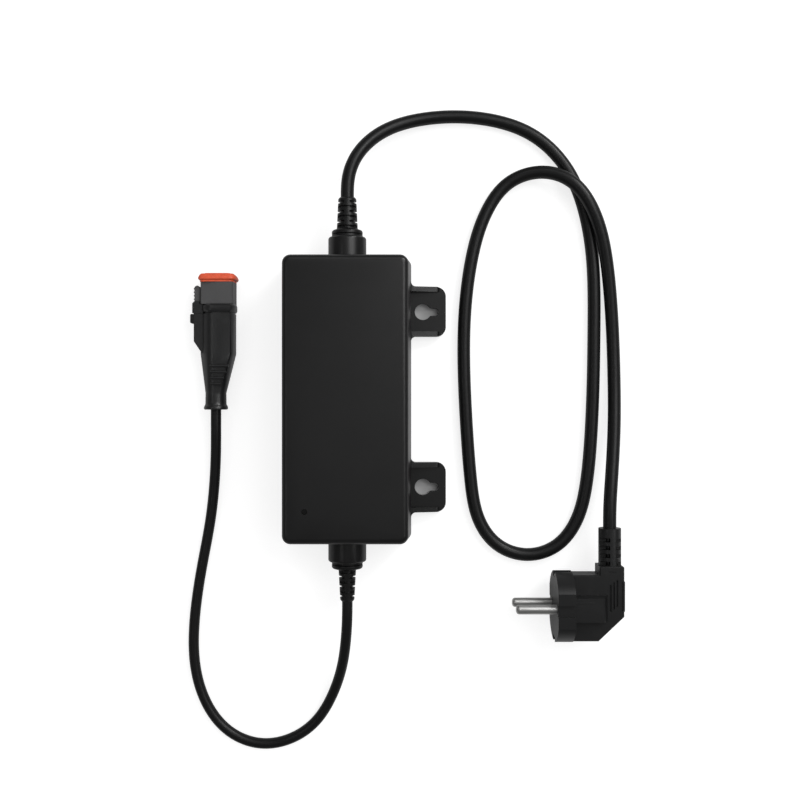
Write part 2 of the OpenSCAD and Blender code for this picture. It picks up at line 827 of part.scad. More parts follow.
// The raised bridge that the pins are moulded into: drafted sides, a sloping
// back end and a fine step along its top
module pin_bridge() {
    half_t = bridge_t / 2;
    base = grip_t / 2 - 1;
    intersection() {
        rotate([90, 0, 0]) linear_extrude(4 * bridge_half_w, center = true) polygon([
            [disc_t - 1, -half_t], [bridge_end, -half_t], [bridge_end + 3.2, -base], [bridge_end + 3.2, base],
            [bridge_end, half_t], [disc_t - 1, half_t],
        ]);
        rotate([90, 0, 90]) linear_extrude(bridge_end + 10) polygon([
            [bridge_half_w + 0.8, -base], [bridge_half_w + 0.8, base], [bridge_half_w, half_t],
            [-bridge_half_w, half_t], [-bridge_half_w - 0.8, base], [-bridge_half_w - 0.8, -base],
            [-bridge_half_w, -half_t], [bridge_half_w, -half_t],
        ]);
    }
    translate([disc_t - 1, 3.5, -half_t - 0.25]) cube([11, 0.5, bridge_t + 0.5]);
}

// The bend relief: a thick sleeve with deep windows beside a middle web
module plug_relief() {
    l = plug_relief_end - shoulder_y + 2;
    translate([plug_relief_x, shoulder_y - 2, 0]) difference() {
        rotate([-90, 0, 0]) cylinder(d = plug_relief_d, h = l);
        difference() {
            for (i = [0:plug_slots - 1], face = [-1, 1])
                translate([0, plug_first_slot + plug_slot_pitch * i - shoulder_y + 2, face > 0 ? 0 : -10]) {
                    translate([-5.2, 0, 0]) cube([4.4, plug_slot_t, 10]);
                    translate([2.3, 0, 0]) cube([3.2, plug_slot_t * 0.8, 10]);
                }
            rotate([-90, 0, 0]) cylinder(d = plug_slot_floor_d, h = l);
            translate([-10, 0, -1.2]) cube([20, l, 2.4]);
        }
    }
}

// Grooves across both flat sides of the grip, which end in a ridge at the back
module grip_grooves() {
    for (face = [-1, 1]) translate([0, 0, face > 0 ? grip_t / 2 - 0.9 : -grip_t / 2 - 1.1]) {
        for (i = [0:2]) translate([27.2 + 1.7 * i, -1.7 + 1.2 * i, 0]) cube([0.95, 13.6, 2]);
        translate([33.4, -1.8, 0]) cube([0.9, 15.2, 2]);
        translate([26.4, 18, 0.5]) cube([4, 0.5, 1]);
    }
}

// The overmould: round front, grip, bridge and bend relief
module plug_body() {
    flat_z = sqrt(plug_d * plug_d / 4 - guide_flat * guide_flat);
    color("#1e1f21") in_plug() difference() {
        union() {
            rotate([0, 90, 0]) cylinder(d = plug_d, h = disc_t, $fn = 96);
            plug_grip();
            pin_bridge();
            plug_relief();
            translate([grip_l - 1, -1.8, 0.6 - grip_t / 2]) cube([1.4, 15.2, grip_t - 1.2]);
        }
        // Flats and guide notches on the round front
        for (face = [-1, 1]) {
            translate([-over, -guide_flat, face > 0 ? flat_z : -flat_z - 10])
                cube([disc_t + over, 2 * guide_flat, 10]);
            translate([-over, -guide_notch_w / 2, face > 0 ? flat_z - 1.8 : -flat_z - 8.2])
                cube([disc_t + over, guide_notch_w, 10]);
        }
        grip_grooves();
        for (side = [-1, 1]) translate([0, 0, side * pin_spacing / 2]) rotate([0, 90, 0]) {
            translate([0, 0, -over]) cylinder(d = pin_d, h = over + 0.2);
            cylinder(d = pin_d - 0.8, h = 12);
        }
        pin_carrier_space();
        strap_shape(-over);
        // Open channels outside the strap, along the round front's two sides
        for (side = [-1, 1]) translate([-over, side > 0 ? strap_y : -strap_y - plug_d, -strap_w / 2])
            cube([disc_t - 0.6 + over, plug_d, strap_w]);
    }
}

// The hard block inside the overmould that the pins are pressed into
module pin_carrier_space() {
    translate([3, -4.5, -13]) cube([5, 9, 26]);
}

// The earth strap's bent strip: a contact on each side, joined behind the carrier
module strap_shape(start) {
    for (side = [-1, 1]) translate([start, side > 0 ? strap_y : -strap_y - strap_t, -strap_w / 2])
        cube([strap_end - start, strap_t, strap_w]);
    translate([strap_end - strap_t, -strap_y - strap_t, -strap_w / 2])
        cube([strap_t, 2 * (strap_y + strap_t), strap_w]);
}

module pin_carrier() {
    color("#d9d7cf") in_plug() difference() {
        pin_carrier_space();
        for (side = [-1, 1]) translate([0, 0, side * pin_spacing / 2]) rotate([0, 90, 0])
            cylinder(d = pin_d - 0.8, h = 12);
    }
}

// A plated pin: rounded tip, straight shaft and a thinner shank in the carrier
module plug_pin(side) {
    tip = 1.6;
    color("#b9bbbd") in_plug() translate([0, 0, side * pin_spacing / 2]) rotate([0, 90, 0]) rotate_extrude() {
        translate([0, tip - pin_l]) square([pin_d / 2, pin_l - tip]);
        translate([0, -pin_l]) square([pin_d / 2 - tip, tip + 0.01]);
        intersection() {
            translate([pin_d / 2 - tip, tip - pin_l]) circle(tip);
            translate([0, -pin_l]) square([pin_d, pin_l]);
        }
        square([pin_d / 2 - 0.4, 12]);
    }
}

module live_pin() {
    plug_pin(1);
}

module neutral_pin() {
    plug_pin(-1);
}

module earth_strap() {
    color("#aaa9a4") in_plug() strap_shape(0.4);
}

module in_connector() {
    translate(connector_at) children();
}

// The pieces in front of the boot are centred on the body, not on the lead
module in_nose() {
    in_connector() translate([boot_shift, 0, 0]) children();
}

// A block with rounded edges along Y, from y0 to y1
module long_block(w, t, y0, y1, r) {
    translate([0, y1, 0]) rotate([90, 0, 0]) linear_extrude(y1 - y0) rounded_outline(w, t, r, $fn = 32);
}

// Section of the boot, larger all round by grow: long slopes towards the latch
// on the left, a flat top, and short slopes on the right
function boot_half_section(w, t) = [
    [-w, t * 0.29], [4.2 - w, t - 1.1], [5.7 - w, t - 0.3], [7 - w, t], [w - 1.7, t],
    [w - 0.5, t - 2.2], [w, t * 0.27],
];
function boot_section(grow) =
    let (half = boot_half_section(boot_w / 2 + grow, boot_t / 2 + grow))
    concat(half, [for (i = [len(half) - 1:-1:0]) [half[i][0], -half[i][1]]]);

module boot_block(y0, y1, grow) {
    translate([boot_shift, y1, 0]) rotate([90, 0, 0]) linear_extrude(y1 - y0) polygon(boot_section(grow));
}

// The guard beside the boot, with a hood over the latch arm's root
module latch_guard() {
    outer_x = latch_x - latch_w / 2;
    linear_extrude(2 * guard_half_t - 1, center = true) polygon([
        [-6, boot_taper_end], [boot_shift - boot_w / 2 - 0.2, boot_taper_end + 1.7],
        [outer_x - 0.2, boot_taper_end + 6.4], [outer_x - 0.2, boot_l - boot_bead], [-6, boot_l - boot_bead],
    ]);
    linear_extrude(2 * guard_half_t, center = true) polygon([
        [-6, boot_l - boot_bead - 0.4], [outer_x - 0.9, boot_l - boot_bead - 0.4],
        [outer_x - 0.9, boot_l + 0.4], [outer_x + 0.3, boot_l + 1.6], [latch_x + latch_w / 2, boot_l + 1.6],
        [latch_x + latch_w / 2, boot_l], [-6, boot_l],
    ]);
    translate([outer_x - 1, 47.2, 0]) difference() {
        linear_extrude(5, center = true) rounded_outline(2.6, 4.9, 0.8, $fn = 24);
        for (face = [-1, 1]) translate([-0.2, 0, 2.5 * face]) cube([0.5, 6, 1], center = true);
    }
}

// The soft cover over the connector's back half: flared end, neck, ribbed
// taper, straight part with a latch guard and button, and a bead at the front
module connector_boot() {
    taper_slope = (boot_t - boot_neck_d) / 2 / (boot_taper_end - boot_neck_l);
    color("#222325") in_connector() difference() {
        union() {
            rotate([-90, 0, 0]) rotate_extrude() polygon([
                [0, 0], [boot_flare_d / 2 - 0.4, 0], [boot_flare_d / 2, 0.5], [boot_flare_d / 2, 1.4],
                [boot_neck_d / 2 + 0.1, 2.8], [boot_neck_d / 2, boot_neck_l + 1], [0, boot_neck_l + 1],
            ]);
            hull() {
                translate([0, boot_neck_l, 0]) rotate([-90, 0, 0])
                    cylinder(d = boot_neck_d, h = 0.5, $fn = 32);
                boot_block(boot_taper_end, boot_taper_end + 2, 0);
            }
            boot_block(boot_taper_end + 1, boot_l - boot_bead - boot_groove, 0);
            boot_block(boot_l - boot_bead - boot_groove - 0.2, boot_l - boot_bead + 0.2, -0.6);
            hull() {
                boot_block(boot_l - boot_bead, boot_l, 0);
                boot_block(boot_l - boot_bead + 1, boot_l - 0.8, 0.5);
            }
            latch_guard();
            for (i = [0:boot_ribs - 1], face = [-1, 1]) {
                y = boot_rib_first + boot_rib_pitch * i;
                z = boot_neck_d / 2 + taper_slope * (y - boot_neck_l) - 0.1;
                translate([1 + 0.6 * i, y, face * z]) rotate([0, 90, 0])
                    cylinder(d = boot_rib_d, h = 5.6 + 1.4 * i, center = true, $fn = 20);
            }
        }
        boot_block(nose_start, boot_l + over, -boot_wall);
        // The pocket that the latch arm's root lies in
        translate([latch_x - latch_w / 2 - 0.1, latch_root - 0.2, -latch_half_t - 0.15])
            cube([latch_w + 3, 6, 2 * latch_half_t + 0.3]);
    }
}

// The hard connector body with its sprung latch arm in one piece. Two bores
// hold the contacts, and a pocket behind them holds the wire seal
module connector_housing() {
    arm_x = latch_x - latch_w / 2;
    color("#4a4b4d") in_connector() difference() {
        union() {
            translate([boot_shift, nose_end, 0]) rotate([90, 0, 0])
                linear_extrude(nose_end - boot_l) nose_outline();
            boot_block(nose_start, boot_l + 0.1, -boot_wall);
            translate([arm_x, latch_root, -latch_half_t])
                cube([latch_w, latch_end - latch_w / 2 - latch_root, 2 * latch_half_t]);
            translate([latch_x, latch_end - latch_w / 2, 0])
                cylinder(d = latch_w, h = 2 * latch_half_t, center = true);
            translate([arm_x, latch_root, -latch_half_t]) cube([5, 1.8, 2 * latch_half_t]);
            // A rail under the arm
            translate([latch_x, boot_l + 1.8, -latch_half_t - 2]) cube([4, 6, 1.6]);
            for (i = [0:latch_teeth - 1])
                translate([arm_x + 0.15, boot_l + 2.6 + 1.8 * i, 0])
                    cylinder(d = 1, h = 2 * latch_half_t, center = true);
        }
        for (side = [-1, 1]) translate([boot_shift + side * contact_x, nose_start - over, 0])
            rotate([-90, 0, 0]) cylinder(d = contact_d, h = nose_end - nose_start + 2 * over);
        translate([boot_shift, 0, 0])
            long_block(seal_pocket[0], seal_pocket[1], nose_start - over, nose_start + 6, 2.2);
    }
}

// Outline of the hard body in front of the boot: its left half slopes a little
module nose_outline() {
    w = nose_w / 2;
    t = nose_t / 2;
    polygon([
        [-w, -t + 2.2], [0.7 - w, -t + 1.4], [0.7, -t], [w - 0.7, -t], [w, -t + 0.7],
        [w, t - 0.7], [w - 0.7, t], [0.7, t], [0.7 - w, t - 1.4], [-w, t - 2.2],
    ]);
}

module wire_seal() {
    color("#c8553a") in_nose() difference() {
        long_block(seal_pocket[0], seal_pocket[1], nose_start, nose_start + 6, 2.2);
        for (side = [-1, 1]) translate([side * contact_x, nose_start - over, 0]) rotate([-90, 0, 0])
            cylinder(d = 2.2, h = 6 + 2 * over);
    }
}

// The face seal: a thin lip, a groove and a full bead that rounds off to the front
module interface_seal() {
    color("#d75f41") in_nose() difference() {
        union() {
            long_block(nose_w + 0.5, nose_t + 0.5, nose_end, nose_end + 0.7, 2.6);
            long_block(nose_w - 0.6, nose_t - 0.6, nose_end + 0.6, nose_end + 1, 2.2);
            hull() {
                long_block(nose_w + 1.2, nose_t + 1, nose_end + 0.9, nose_end + 1.2, 2.8);
                long_block(nose_w + 2.5, nose_t + 2, nose_end + 1.5, nose_end + 2.2, 3.4);
                long_block(nose_w + 1.4, nose_t + 1, seal_end - 0.9, seal_end - 0.8, 2.9);
                long_block(nose_w, nose_t - 0.4, seal_end - 0.1, seal_end, 2.3);
            }
        }
        long_block(nose_w - 3.6, nose_t - 3.6, nose_end - over, seal_end + over, 1.6);
    }
}

// The lock that slides in from the front and holds both contacts
module wedge_lock() {
    color("#d75f41") in_nose() difference() {
        long_block(nose_w - 3.6, nose_t - 3.6, nose_end, seal_end + 0.4, 1.6);
        for (side = [-1, 1]) translate([side * contact_x, nose_end - over, 0]) rotate([-90, 0, 0])
            cylinder(d = contact_d, h = seal_end - nose_end + 2 * over);
        translate([-0.8, seal_end - 1.6, -2.2]) cube([1.6, 4, 4.4]);
    }
}

// A turned socket contact with a crimp barrel at its back
module socket_contact(side) {
    contact_l = seal_end - nose_start - 7;
    color("#c6a961") in_nose() translate([side * contact_x, nose_start + 6, 0]) rotate([-90, 0, 0])
        difference() {
            cylinder(d = contact_d, h = contact_l);
            translate([0, 0, contact_l - 9]) cylinder(d = 1.6, h = 9 + over);
            translate([0, 0, -over]) cylinder(d = 1.8, h = 6 + over);
        }
}

module positive_contact() {
    socket_contact(-1);
}

module negative_contact() {
    socket_contact(1);
}

housing();
back_cover();
cover_gasket();
cover_screws();
light_pipe();
status_led();
circuit_board();
board_screws();
insulating_sheet();
fuse();
fuse_clips();
filter_choke_core();
filter_choke_winding();
x_capacitor();
y_capacitor();
bridge_rectifier();
bulk_capacitor();
primary_heatsink();
switching_transistor();
control_chip();
transformer_core();
transformer_bobbin();
transformer_winding();
optocoupler();
secondary_heatsink();
output_rectifier();
output_capacitor_left();
output_capacitor_right();
output_choke();
live_core();
neutral_core();
earth_core();
positive_core();
negative_core();
mains_bushing();
mains_cord();
plug_body();
pin_carrier();
live_pin();
neutral_pin();
earth_strap();
output_bushing();
output_cord();
connector_boot();
connector_housing();
wire_seal();
interface_seal();
wedge_lock();
positive_contact();
negative_contact();
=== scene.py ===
"""The looks of a power supply adapter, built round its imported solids."""

import json
import math

import bmesh
import bpy
from bpy.props import FloatProperty, FloatVectorProperty, PointerProperty
from bpy.types import Operator, Panel, PropertyGroup
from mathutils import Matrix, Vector


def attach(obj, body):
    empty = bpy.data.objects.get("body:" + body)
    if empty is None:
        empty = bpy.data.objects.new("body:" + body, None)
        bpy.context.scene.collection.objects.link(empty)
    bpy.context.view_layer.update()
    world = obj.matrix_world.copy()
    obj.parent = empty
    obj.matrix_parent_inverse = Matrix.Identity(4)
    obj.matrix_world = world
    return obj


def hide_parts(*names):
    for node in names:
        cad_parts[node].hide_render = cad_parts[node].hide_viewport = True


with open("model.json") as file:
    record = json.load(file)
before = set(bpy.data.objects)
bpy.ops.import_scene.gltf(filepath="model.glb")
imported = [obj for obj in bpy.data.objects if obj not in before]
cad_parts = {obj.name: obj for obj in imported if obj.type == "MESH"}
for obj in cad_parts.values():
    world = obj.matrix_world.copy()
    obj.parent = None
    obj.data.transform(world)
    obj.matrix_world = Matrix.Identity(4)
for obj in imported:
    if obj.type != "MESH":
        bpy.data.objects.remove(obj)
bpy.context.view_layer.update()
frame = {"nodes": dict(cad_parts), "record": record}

bl_info = {
    "name": "Power Supply Adapter",
    "version": (1, 0, 0),
    "blender": (4, 5, 0),
    "location": "3D View > Sidebar > Adapter",
    "description": "Finishes, leads and a studio for a power supply adapter",
    "category": "Object",
}

BODY = "root"
MM = 0.001

# The point that the camera looks down on, and its lens and sensor in millimetres
CAMERA_OVER = (26.95 * MM, -0.31 * MM)
LENS = 46.8
SENSOR_WIDTH = 36

# Vertices closer than this are one, and faces within this angle lie in one plane
MERGE_WITHIN = 0.002 * MM
FLAT_WITHIN = math.radians(0.4)

# Widths of the bevel on moulded edges, and the turn in degrees from which the plug's edges get one
BUSHING_EDGE = 0.12 * MM
PLUG_EDGE = 0.25 * MM
PLUG_EDGE_ANGLE = 21
CONNECTOR_EDGES = {
    "connector_boot": 0.25 * MM,
    "connector_housing": 0.2 * MM,
    "interface_seal": 0.15 * MM,
    "wedge_lock": 0.15 * MM,
}

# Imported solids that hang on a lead's far end and keep their own shape
CONNECTOR_NODES = ["wire_seal", "positive_contact", "negative_contact"]

# Levels of the floor's glow and of the sky to the camera and to reflections, the sky's light, and
# the floor's own colour
FLOOR_VIEW = 0.72
FLOOR_SHINE = 0.14
SKY_VIEW = 1.0
SKY_SHINE = 0.15
SKY_LIGHT = 0.6
PAPER = (0.42, 0.42, 0.42)

# How far the floor reaches to each side and how little it lies under the adapter, and the half sizes of the
# patch of painted shade under each keyhole, where the floor's glow is left out so it shows darker, and how
# far it lies outwards of the round end's middle
FLOOR_REACH = 3
FLOOR_DROP = 0.1 * MM
KEYHOLE_SHADE_LENGTH = 7.5 * MM
KEYHOLE_SHADE_WIDTH = 6 * MM
KEYHOLE_SHADE_SHIFT = 2 * MM

# Points of a lead's curve between two points of its route
LEAD_STEPS = 12

# Routes of the two leads, in metres, from the bushing to the far end
MAINS_ROUTE = [
    (0, 0.103, 0.018), (0, 0.113, 0.018), (0.003, 0.123, 0.017), (0.0095, 0.1325, 0.0135),
    (0.02, 0.141, 0.0095), (0.037, 0.1475, 0.0045), (0.064, 0.1495, 0.0035), (0.094, 0.143, 0.0035),
    (0.113, 0.126, 0.0035), (0.123, 0.106, 0.0035), (0.129, 0.076, 0.0035), (0.129, 0.04, 0.0035),
    (0.1285, 0.004, 0.0035), (0.127, -0.026, 0.0035), (0.125, -0.045, 0.0035), (0.1215, -0.062, 0.0035),
    (0.1115, -0.0775, 0.0035), (0.094, -0.0835, 0.0035), (0.0765, -0.0775, 0.0035),
    (0.0665, -0.062, 0.0035), (0.064, -0.043, 0.0035), (0.062, -0.018, 0.0035), (0.06, 0.021, 0.0035),
    (0.061, 0.053, 0.0035), (0.0655, 0.081, 0.0035), (0.072, 0.0995, 0.0035), (0.0825, 0.115, 0.004),
    (0.1005, 0.1205, 0.007), (0.1175, 0.1145, 0.0107), (0.128, 0.0985, 0.011), (0.1345, 0.078, 0.008),
    (0.1385, 0.044, 0.0035), (0.1395, 0.0105, 0.0035), (0.139, -0.013, 0.007), (0.1365, -0.037, 0.013),
    (0.1346, -0.054, 0.016), (0.1346, -0.066, 0.016),
]
OUTPUT_ROUTE = [
    (0, -0.103, 0.018), (0, -0.114, 0.018), (-0.0015, -0.132, 0.014), (-0.0055, -0.149, 0.006),
    (-0.015, -0.169, 0.0028), (-0.03, -0.1795, 0.0028), (-0.0475, -0.1825, 0.0028),
    (-0.065, -0.175, 0.0028), (-0.0765, -0.159, 0.0028), (-0.082, -0.1385, 0.0028),
    (-0.0815, -0.1145, 0.0028), (-0.0775, -0.088, 0.0028), (-0.072, -0.062, 0.0028),
    (-0.0695, -0.035, 0.005), (-0.0689, -0.018, 0.0082), (-0.0689, -0.0053, 0.0082),
]


class AdapterLooks(PropertyGroup):
    """Sizes and colours of the adapter that a user would change"""

    mains_diameter: FloatProperty(
        name="Mains lead", description="Diameter of the mains lead", default=6.8 * MM, min=0.005, max=0.009,
        unit="LENGTH", precision=4,
    )
    output_diameter: FloatProperty(
        name="Output lead", description="Diameter of the low-voltage lead", default=5.4 * MM, min=0.004,
        max=0.008, unit="LENGTH", precision=4,
    )
    edge_softness: FloatProperty(
        name="Edge softness", description="Width of the tiny bevel on moulded edges", default=0.25 * MM,
        min=0, max=0.0006, unit="LENGTH", precision=5,
    )
    case_colour: FloatVectorProperty(
        name="Case", description="Colour of the housing and its cover", default=(0.0042, 0.0042, 0.0044),
        min=0, max=1, size=3, subtype="COLOR",
    )
    jacket_colour: FloatVectorProperty(
        name="Jacket", description="Colour of the leads, bushings and plug", default=(0.0046, 0.0047, 0.0049),
        min=0, max=1, size=3, subtype="COLOR",
    )
    grey_colour: FloatVectorProperty(
        name="Grey body", description="Colour of the connector's hard body", default=(0.064, 0.064, 0.065),
        min=0, max=1, size=3, subtype="COLOR",
    )
    orange_colour: FloatVectorProperty(
        name="Seals", description="Colour of the connector's seals and lock", default=(0.7, 0.092, 0.033),
        min=0, max=1, size=3, subtype="COLOR",
    )
    camera_height: FloatProperty(
        name="Camera height", description="Height of the camera over the surface", default=0.55, min=0.3,
        max=2, unit="LENGTH",
    )
    key_power: FloatProperty(
        name="Key lamp", description="Power of the lamp over the tabs' side", default=2.0, min=0, max=50,
        unit="POWER",
    )


class Wire:
    """A node's output that Python's operators work on, each adding a Math node"""

    def __init__(self, finish, socket):
        self.finish = finish
        self.socket = socket

    def math(self, operation, *others):
        return self.finish.node("ShaderNodeMath", {"operation": operation}, dict(enumerate((self, *others))))

    def __add__(self, other):
        return self.math("ADD", other)

    def __sub__(self, other):
        return self.math("SUBTRACT", other)

    def __mul__(self, other):
        return self.math("MULTIPLY", other)

    def ramp(self, low, high, out_low=0.0, out_high=1.0):
        """This value from low to high, turned into a value from out_low to out_high"""
        return self.finish.node(
            "ShaderNodeMapRange", {"clamp": True},
            {"Value": self, "From Min": low, "From Max": high, "To Min": out_low, "To Max": out_high},
        )


class Finish:
    """A material or a sky under construction"""

    def __init__(self, name, kind="Material"):
        store = bpy.data.worlds if kind == "World" else bpy.data.materials
        self.material = store.new(name)
        self.material.use_nodes = True
        self.tree = self.material.node_tree
        self.tree.nodes.clear()
        self.output = self.tree.nodes.new(f"ShaderNodeOutput{kind}")

    def node(self, kind, settings=None, sockets=None, out=0):
        """Adds one node: its settings first, then the values or links of its sockets"""
        made = self.tree.nodes.new(kind)
        for name, value in (settings or {}).items():
            setattr(made, name, value)
        for name, value in (sockets or {}).items():
            if isinstance(value, Wire):
                self.tree.links.new(value.socket, made.inputs[name])
            else:
                made.inputs[name].default_value = value
        return Wire(self, made.outputs[out])

    def place(self, scale=(1, 1, 1)):
        """Object coordinates, stretched along each axis"""
        coordinates = self.node("ShaderNodeTexCoord", out="Object")
        return self.node("ShaderNodeMapping", sockets={"Vector": coordinates, "Scale": scale})

    def noise(self, size, place=None, detail=3.0, roughness=0.5):
        """Cloudy noise whose lumps are about size metres across"""
        return self.node(
            "ShaderNodeTexNoise", {"noise_dimensions": "3D"},
            {"Vector": place or self.place(), "Scale": 1 / size, "Detail": detail, "Roughness": roughness},
        )

    def bump(self, height, depth, strength=1.0, under=None):
        """A relief depth metres deep, on top of another one if there is one under it"""
        sockets = {"Height": height, "Distance": depth, "Strength": strength}
        if under:
            sockets["Normal"] = under
        return self.node("ShaderNodeBump", {}, sockets)

    def between(self, factor, first, second):
        """A colour between two colours"""
        colours = {"Factor": factor, 6: (*first, 1), 7: (*second, 1)}
        return self.node("ShaderNodeMix", {"data_type": "RGBA"}, colours, out=2)

    def done(self, **sockets):
        """Joins a Principled shader with these sockets to the output"""
        spelt = {name.replace("_", " "): value for name, value in sockets.items()}
        shader = self.node("ShaderNodeBsdfPrincipled", {}, spelt)
        self.tree.links.new(shader.socket, self.output.inputs["Surface"])
        return self.material


def shade(colour, factor):
    """The colour made lighter or darker by a factor"""
    return tuple(min(1.0, c * factor) for c in colour)


def grained_plastic(name, colour, roughness, grain=0.35 * MM, depth=0.012 * MM, specular=0.3):
    """Moulded plastic with an eroded grain and faint handling marks"""
    finish = Finish(name)
    grit = finish.noise(grain, detail=2.0)
    cloud = finish.noise(22 * MM, detail=3.0)
    rub = finish.noise(3.2 * MM, finish.place((1, 0.25, 1)), detail=4.0, roughness=0.65)
    marks = rub.ramp(0.6, 0.78)
    tone = cloud.ramp(0.35, 0.65) * 0.6 + marks * 0.4
    return finish.done(
        Base_Color=finish.between(tone, shade(colour, 0.92), shade(colour, 1.18)),
        Roughness=cloud.ramp(0.3, 0.7, roughness - 0.015, roughness + 0.015) - marks * 0.03,
        Specular_IOR_Level=specular,
        Normal=finish.bump(grit, depth, 0.6),
    )


def soft_vinyl(name, colour, roughness, specular=0.35, depth=0.012 * MM):
    """Soft moulded vinyl: smooth, with a faint peel-like relief and dusty patches"""
    finish = Finish(name)
    peel = finish.noise(1.1 * MM, detail=1.5)
    dust = finish.noise(9 * MM, detail=5.0, roughness=0.6).ramp(0.5, 0.75)
    return finish.done(
        Base_Color=finish.between(dust, colour, shade(colour, 1.35)),
        Roughness=peel.ramp(0.3, 0.7, roughness - 0.02, roughness + 0.02) + dust * 0.04,
        Specular_IOR_Level=specular,
        Normal=finish.bump(peel, depth, 0.4),
    )


def jacket_vinyl(name, colour, roughness):
    """A lead's extruded jacket, with faint swellings where the cores lie"""
    finish = Finish(name)
    swell = finish.noise(6 * MM, detail=1.0)
    fine = finish.noise(0.5 * MM, detail=2.0)
    scuff = finish.noise(4 * MM, detail=5.0, roughness=0.7).ramp(0.6, 0.8)
    relief = finish.bump(fine, 0.008 * MM, 0.4, finish.bump(swell, 0.12 * MM, 0.5))
    return finish.done(
        Base_Color=finish.between(scuff, colour, shade(colour, 1.7)),
        Roughness=fine.ramp(0.3, 0.7, roughness - 0.03, roughness + 0.03) + scuff * 0.06,
        Specular_IOR_Level=0.28,
        Normal=relief,
    )


def silicone(name, colour):
    """Moulded silicone: satin, a little deeper in colour where it is worn"""
    finish = Finish(name)
    patch = finish.noise(3 * MM, detail=4.0)
    return finish.done(
        Base_Color=finish.between(patch.ramp(0.35, 0.7), shade(colour, 0.86), shade(colour, 1.06)),
        Roughness=patch.ramp(0.3, 0.7, 0.42, 0.52),
        Specular_IOR_Level=0.45,
        Normal=finish.bump(finish.noise(0.6 * MM), 0.01 * MM, 0.5),
    )


def bright_metal(name, colour, roughness, along=(1, 1, 1)):
    """Plated metal with fine tool marks across its length and dull patches"""
    finish = Finish(name)
    marks = finish.noise(0.2 * MM, finish.place(along), detail=2.0)
    dull = finish.noise(5 * MM, detail=4.0, roughness=0.6).ramp(0.45, 0.75)
    return finish.done(
        Base_Color=finish.between(dull, colour, shade(colour, 0.8)),
        Metallic=1.0,
        Roughness=marks.ramp(0.3, 0.7, roughness - 0.05, roughness + 0.05) + dull * 0.12,
        Normal=finish.bump(marks, 0.004 * MM, 0.5),
    )


def plain_part(name, colour, roughness, metallic=0.0, mottle=2.5 * MM, depth=0.01 * MM):
    """A board part's own surface: mottled a little, with a fine relief"""
    finish = Finish(name)
    patch = finish.noise(mottle, detail=3.0)
    return finish.done(
        Base_Color=finish.between(patch.ramp(0.35, 0.65), shade(colour, 0.85), shade(colour, 1.12)),
        Metallic=metallic,
        Roughness=patch.ramp(0.3, 0.7, roughness - 0.05, roughness + 0.05),
        Normal=finish.bump(finish.noise(mottle / 4), depth, 0.5),
    )


def smoked_rod(name, colour):
    """A smoked plastic rod, dark while its lamp is off"""
    finish = Finish(name)
    streak = finish.noise(1.2 * MM, finish.place((1, 1, 0.2)), detail=2.0)
    return finish.done(
        Base_Color=finish.between(streak.ramp(0.4, 0.6), shade(colour, 0.7), shade(colour, 1.2)),
        Roughness=streak.ramp(0.3, 0.7, 0.2, 0.3),
        Specular_IOR_Level=0.22,
        Transmission_Weight=0.1,
        IOR=1.5,
    )


def green_board(name, colour):
    """Solder mask over copper: lighter and raised where the copper lies"""
    finish = Finish(name)
    edges = finish.node(
        "ShaderNodeTexVoronoi", {"feature": "DISTANCE_TO_EDGE"},
        {"Vector": finish.place(), "Scale": 1 / (9 * MM)},
    )
    copper = edges.ramp(0.06, 0.09)
    return finish.done(
        Base_Color=finish.between(copper, shade(colour, 0.7), shade(colour, 1.3)),
        Roughness=finish.noise(0.4 * MM).ramp(0.3, 0.7, 0.28, 0.4),
        Specular_IOR_Level=0.5,
        Normal=finish.bump(copper, 0.035 * MM, 0.8),
    )


